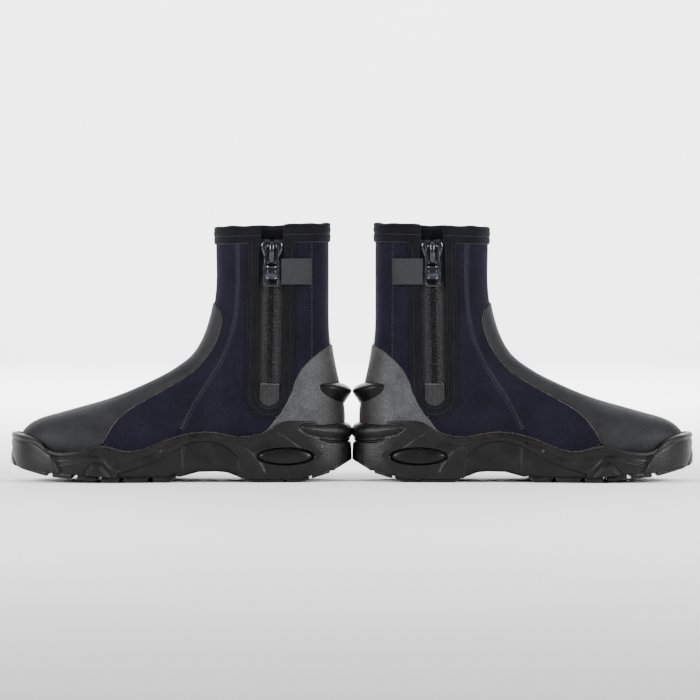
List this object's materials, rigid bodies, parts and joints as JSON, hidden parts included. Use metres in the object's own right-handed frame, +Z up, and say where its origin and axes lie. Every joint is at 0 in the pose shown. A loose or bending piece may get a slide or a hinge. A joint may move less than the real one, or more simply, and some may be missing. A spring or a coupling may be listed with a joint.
{
  "type": "neoprene boots",
  "caption": "Pair of ankle-high zipped neoprene dive boots with rubber soles, a side zip with slider and pull tab, and a heel spur for a fin strap.",
  "frame": {"origin": "on the floor, midway between the two heels, on the middle of the soles' width", "axes": "+X from heel to toe of the left boot, +Y towards the outer (lateral) sides, +Z up"},
  "size_m": [0.6012, 0.1061, 0.2269],
  "materials": {
    "neoprene": "nylon knit laminated on neoprene, matt with a soft sheen",
    "overlay_rubber": "finely embossed, matt",
    "counter_rubber": "grained, matt",
    "tab_rubber": "smooth, satin",
    "sole_rubber": "pebbled, satin",
    "insert_rubber": "satin",
    "wedge_foam": "closed-cell foam",
    "insole_foam": "knit-faced foam",
    "binding": "stretch binding, matt",
    "gusset_fabric": "thin nylon-faced neoprene",
    "zip_tape": "woven, coated",
    "zip_plastic": "moulded, glossy",
    "slider_metal": "black gloss enamel",
    "webbing": "ribbed weave"
  },
  "bodies": {
    "left_boot": {"left_outsole": "sole_rubber", "left_heel_wedge": "wedge_foam", "left_side_inserts": "insert_rubber", "left_toe_guard": "sole_rubber", "left_sock_sole": "neoprene", "left_insole": "insole_foam", "left_vamp_panel": "neoprene", "left_medial_panel": "neoprene", "left_lateral_panel": "neoprene", "left_rear_panel": "neoprene", "left_instep_overlay": "overlay_rubber", "left_heel_counter": "counter_rubber", "left_kick_tab": "tab_rubber", "left_collar_binding": "binding", "left_zip_binding": "binding", "left_zip_gusset": "gusset_fabric", "left_zip_tape_toe_side": "zip_tape", "left_zip_tape_heel_side": "zip_tape", "left_zip_teeth_toe_side": "zip_plastic", "left_zip_teeth_heel_side": "zip_plastic", "left_zip_top_stops": "zip_plastic", "left_zip_end_patch": "zip_plastic"},
    "left_slider": {"left_slider_body": "slider_metal", "left_slider_crown": "slider_metal"},
    "left_puller": {"left_zip_puller": "slider_metal"},
    "left_strap": {"left_zip_strap": "webbing"},
    "right_boot": {"right_outsole": "sole_rubber", "right_heel_wedge": "wedge_foam", "right_side_inserts": "insert_rubber", "right_toe_guard": "sole_rubber", "right_sock_sole": "neoprene", "right_insole": "insole_foam", "right_vamp_panel": "neoprene", "right_medial_panel": "neoprene", "right_lateral_panel": "neoprene", "right_rear_panel": "neoprene", "right_instep_overlay": "overlay_rubber", "right_heel_counter": "counter_rubber", "right_kick_tab": "tab_rubber", "right_collar_binding": "binding", "right_zip_binding": "binding", "right_zip_gusset": "gusset_fabric", "right_zip_tape_toe_side": "zip_tape", "right_zip_tape_heel_side": "zip_tape", "right_zip_teeth_toe_side": "zip_plastic", "right_zip_teeth_heel_side": "zip_plastic", "right_zip_top_stops": "zip_plastic", "right_zip_end_patch": "zip_plastic"},
    "right_slider": {"right_slider_body": "slider_metal", "right_slider_crown": "slider_metal"},
    "right_puller": {"right_zip_puller": "slider_metal"},
    "right_strap": {"right_zip_strap": "webbing"}
  },
  "joints": [
    {"name": "boots_apart", "type": "slide", "parent": "left_boot", "child": "right_boot", "axis": [-1, 0, 0], "range_m": [0, 0.2]},
    {"name": "left_zip_slide", "type": "slide", "parent": "left_boot", "child": "left_slider", "axis": [0.0175, 0, -0.9998], "range_m": [0, 0.102], "deforming": ["left_zip_teeth_toe_side", "left_zip_teeth_heel_side"]},
    {"name": "left_puller_hinge", "type": "hinge", "parent": "left_slider", "child": "left_puller", "pos_m": [0.06993, -0.0454, 0.20599], "axis": [-0.9998, 0, -0.0175], "range_deg": [0, 165]},
    {"name": "left_strap_hinge", "type": "hinge", "parent": "left_boot", "child": "left_strap", "pos_m": [0.037, -0.0379, 0.184], "axis": [0, 0, -1], "range_deg": [0, 110]},
    {"name": "right_zip_slide", "type": "slide", "parent": "right_boot", "child": "right_slider", "axis": [-0.0175, 0, -0.9998], "range_m": [0, 0.102], "deforming": ["right_zip_teeth_toe_side", "right_zip_teeth_heel_side"]},
    {"name": "right_puller_hinge", "type": "hinge", "parent": "right_slider", "child": "right_puller", "pos_m": [-0.06993, -0.0454, 0.20599], "axis": [-0.9998, 0, 0.0175], "range_deg": [0, 165]},
    {"name": "right_strap_hinge", "type": "hinge", "parent": "right_boot", "child": "right_strap", "pos_m": [-0.037, -0.0379, 0.184], "axis": [0, 0, 1], "range_deg": [0, 110]}
  ]
}
